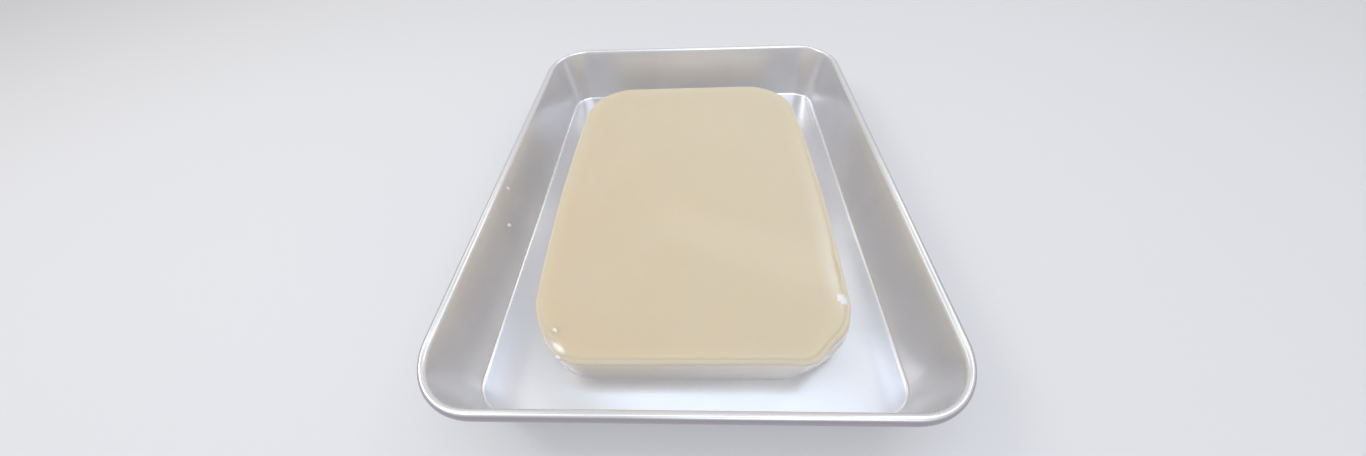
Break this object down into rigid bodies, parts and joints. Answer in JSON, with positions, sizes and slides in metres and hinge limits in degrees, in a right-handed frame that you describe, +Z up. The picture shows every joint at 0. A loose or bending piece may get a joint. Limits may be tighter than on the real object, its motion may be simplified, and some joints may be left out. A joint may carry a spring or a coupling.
{
  "type": "agar jelly slab in an aluminium tray",
  "caption": "Thick slab of cloudy agar jelly with round corners and a low raised lip, lying in a shallow pressed aluminium tray with a rolled rim.",
  "frame": {"origin": "under the middle of the tray, on the surface that it stands on", "axes": "+X across the tray, +Y along it towards its far end, +Z up"},
  "size_m": [0.2728, 0.3384, 0.048],
  "materials": {
    "aluminium": "satin anodised",
    "jelly": "wet, smooth, cloudy"
  },
  "bodies": {
    "root": {"tray": "aluminium", "jelly": "jelly"}
  },
  "joints": []
}
